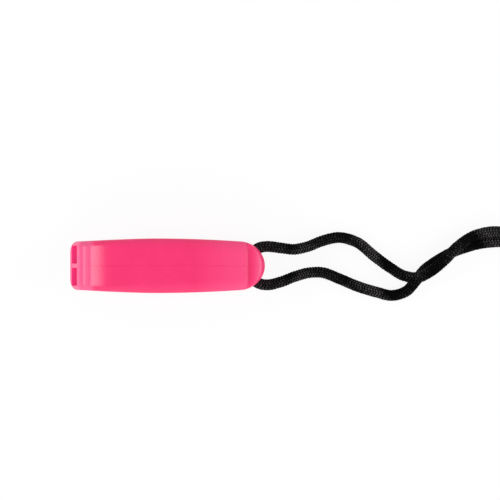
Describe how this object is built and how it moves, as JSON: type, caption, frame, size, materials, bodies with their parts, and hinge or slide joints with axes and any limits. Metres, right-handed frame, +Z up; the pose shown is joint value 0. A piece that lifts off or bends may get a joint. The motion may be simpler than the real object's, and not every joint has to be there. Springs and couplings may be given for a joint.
{
  "type": "sports whistle",
  "caption": "Slim moulded whistle without a pea, with side by side mouth ducts, flank windows and two tone chambers, on a loop of braided cord held by a bar in its lug",
  "frame": {"origin": "middle of the whistle's bounding box in plan, on the plane of its flat underside; the cord is not counted", "axes": "X runs along the whistle from the mouth at -X to the lanyard end at +X, Y across its flanks, Z up from the underside to the back"},
  "size_m": [0.197, 0.0277, 0.017],
  "materials": {
    "body_plastic": "hot pink moulded plastic, satin gloss, fine parting line along the back",
    "core_plastic": "the same hot pink moulded plastic as the shells",
    "braid": "black braided polyester cord with a herringbone of fine yarns",
    "sleeve_metal": "nickel plated steel, crimped",
    "elastic": "black woven elastic band"
  },
  "bodies": {
    "whistle": {"right_shell": "body_plastic", "left_shell": "body_plastic", "divider_core": "core_plastic"},
    "lanyard": {"cord_eye_bend": "braid", "cord_strand_a": "braid", "cord_strand_b": "braid", "cord_hank": "braid", "cord_tail": "braid", "cord_sleeve": "sleeve_metal", "hank_tie": "elastic"}
  },
  "joints": [
    {"name": "lanyard_swing", "type": "hinge", "parent": "whistle", "child": "lanyard", "pos_m": [0.0284, 0, 0.008], "axis": [0, 0, 1], "range_deg": [-40, 40]}
  ]
}
